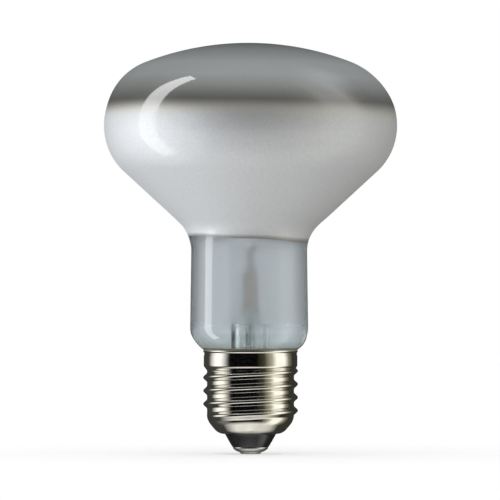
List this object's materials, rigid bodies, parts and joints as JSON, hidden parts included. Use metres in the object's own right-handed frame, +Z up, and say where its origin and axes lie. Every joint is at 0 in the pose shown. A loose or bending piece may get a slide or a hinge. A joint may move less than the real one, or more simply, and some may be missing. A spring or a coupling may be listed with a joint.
{
  "type": "reflector bulb",
  "caption": "Blown glass reflector lamp with a frosted face, a silvered bowl and a straight neck, on a screw cap with a center contact.",
  "frame": {"origin": "middle of the flat end of the center contact, on the lamp axis", "axes": "+Z runs up the lamp axis from the contact to the face, and -Y points at the viewer of the picture"},
  "size_m": [0.0804, 0.0804, 0.1128],
  "materials": {
    "envelope_glass": "blown glass, frosted inside, clear just above the cap",
    "reflector_film": "aluminium film, satin where it lies on the frosted glass",
    "cap_metal": "rolled brass with a bright nickel plating",
    "insulator_glass": "black pressed glass, glossy",
    "contact_brass": "tinned brass",
    "solder": "dull grey solder",
    "cement": "tan capping cement, matt",
    "stem_glass": "clear glass",
    "seal_wire": "copper-clad wire",
    "lead_wire": "nickel-plated wire",
    "tungsten": "grey coiled tungsten",
    "support_wire": "drawn molybdenum wire"
  },
  "bodies": {
    "root": {"envelope": "envelope_glass", "reflector_coating": "reflector_film", "cap_shell": "cap_metal", "cap_insulator": "insulator_glass", "contact_plate": "contact_brass", "contact_solder": "solder", "capping_cement": "cement", "rim_solder": "solder", "stem_flare": "stem_glass", "exhaust_tube": "stem_glass", "stem_arbor": "stem_glass", "seal_wire_front": "seal_wire", "seal_wire_back": "seal_wire", "inner_lead_front": "lead_wire", "inner_lead_back": "lead_wire", "contact_lead": "lead_wire", "rim_lead": "lead_wire", "filament": "tungsten", "filament_support_1": "support_wire", "filament_support_2": "support_wire", "filament_support_3": "support_wire"}
  },
  "joints": []
}
